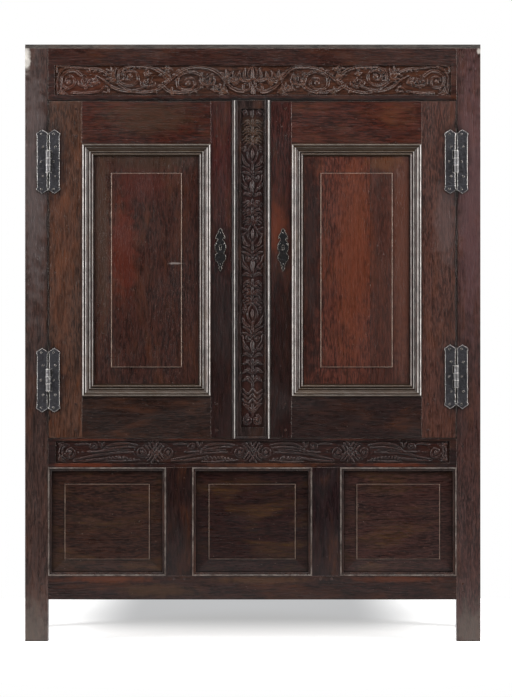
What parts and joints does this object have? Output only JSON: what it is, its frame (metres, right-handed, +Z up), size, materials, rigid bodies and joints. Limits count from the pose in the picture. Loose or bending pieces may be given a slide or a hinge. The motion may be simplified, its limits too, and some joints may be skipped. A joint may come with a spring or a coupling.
{
  "type": "press cupboard",
  "caption": "Oak press cupboard: panelled doors on H hinges above fixed panels, with a carved frieze, centre muntin and mid rail.",
  "frame": {"origin": "bottom centre of the case, on the surface that the feet stand on", "axes": "+Z up, front facing -Y, +X to the viewer's right"},
  "size_m": [1.434, 0.5753, 1.88],
  "materials": {
    "frame_oak": "dark waxed oak, satin",
    "panel_oak": "dark waxed oak, satin",
    "moulding_oak": "dark waxed oak, rubbed bright on the beads",
    "top_oak": "dark weathered oak",
    "dry_oak": "dry unwaxed oak",
    "black_iron": "forged, waxed black",
    "bright_iron": "worn iron"
  },
  "bodies": {
    "case": {"back_boards": "dry_oak", "bottom_boards": "dry_oak", "bottom_rail": "frame_oak", "centre_muntin": "frame_oak", "door_stops": "dry_oak", "floor_bearers": "dry_oak", "frieze_rail": "frame_oak", "front_left_stile": "frame_oak", "front_right_stile": "frame_oak", "hinge_pins": "bright_iron", "left_lower_frame_leaf": "black_iron", "left_side_bottom_rail": "frame_oak", "left_side_lower_panel": "panel_oak", "left_side_mid_rail": "frame_oak", "left_side_top_rail": "frame_oak", "left_side_upper_panel": "panel_oak", "left_upper_frame_leaf": "black_iron", "lower_centre_panel": "panel_oak", "lower_left_muntin": "frame_oak", "lower_left_panel": "panel_oak", "lower_panel_mouldings": "moulding_oak", "lower_right_muntin": "frame_oak", "lower_right_panel": "panel_oak", "mid_rail": "frame_oak", "rear_bottom_rail": "dry_oak", "rear_left_stile": "frame_oak", "rear_right_stile": "frame_oak", "rear_top_rail": "dry_oak", "right_lower_frame_leaf": "black_iron", "right_side_bottom_rail": "frame_oak", "right_side_lower_panel": "panel_oak", "right_side_mid_rail": "frame_oak", "right_side_top_rail": "frame_oak", "right_side_upper_panel": "panel_oak", "right_upper_frame_leaf": "black_iron", "shelf_bearers": "dry_oak", "shelf_boards": "dry_oak", "top_boards": "top_oak"},
    "left_door": {"left_door_bottom_rail": "frame_oak", "left_door_hinge_stile": "frame_oak", "left_door_lock_stile": "frame_oak", "left_door_moulding": "moulding_oak", "left_door_panel": "panel_oak", "left_door_top_rail": "frame_oak", "left_escutcheon": "black_iron", "left_lock_case": "black_iron", "left_lower_door_leaf": "black_iron", "left_upper_door_leaf": "black_iron"},
    "right_door": {"right_door_bottom_rail": "frame_oak", "right_door_hinge_stile": "frame_oak", "right_door_lock_stile": "frame_oak", "right_door_moulding": "moulding_oak", "right_door_panel": "panel_oak", "right_door_top_rail": "frame_oak", "right_escutcheon": "black_iron", "right_lock_case": "black_iron", "right_lower_door_leaf": "black_iron", "right_upper_door_leaf": "black_iron"},
    "left_bolt": {"left_lock_bolt": "bright_iron"},
    "right_bolt": {"right_lock_bolt": "bright_iron"}
  },
  "joints": [
    {"name": "left_door_hinge", "type": "hinge", "parent": "case", "child": "left_door", "pos_m": [-0.644, -0.2878, 1.1715], "axis": [0, 0, -1], "range_deg": [0, 165]},
    {"name": "right_door_hinge", "type": "hinge", "parent": "case", "child": "right_door", "pos_m": [0.641, -0.2878, 1.1715], "axis": [0, 0, 1], "range_deg": [0, 165]},
    {"name": "left_bolt_slide", "type": "slide", "parent": "left_door", "child": "left_bolt", "axis": [1, 0, 0], "range_m": [0, 0.012]},
    {"name": "right_bolt_slide", "type": "slide", "parent": "right_door", "child": "right_bolt", "axis": [-1, 0, 0], "range_m": [0, 0.012]}
  ]
}
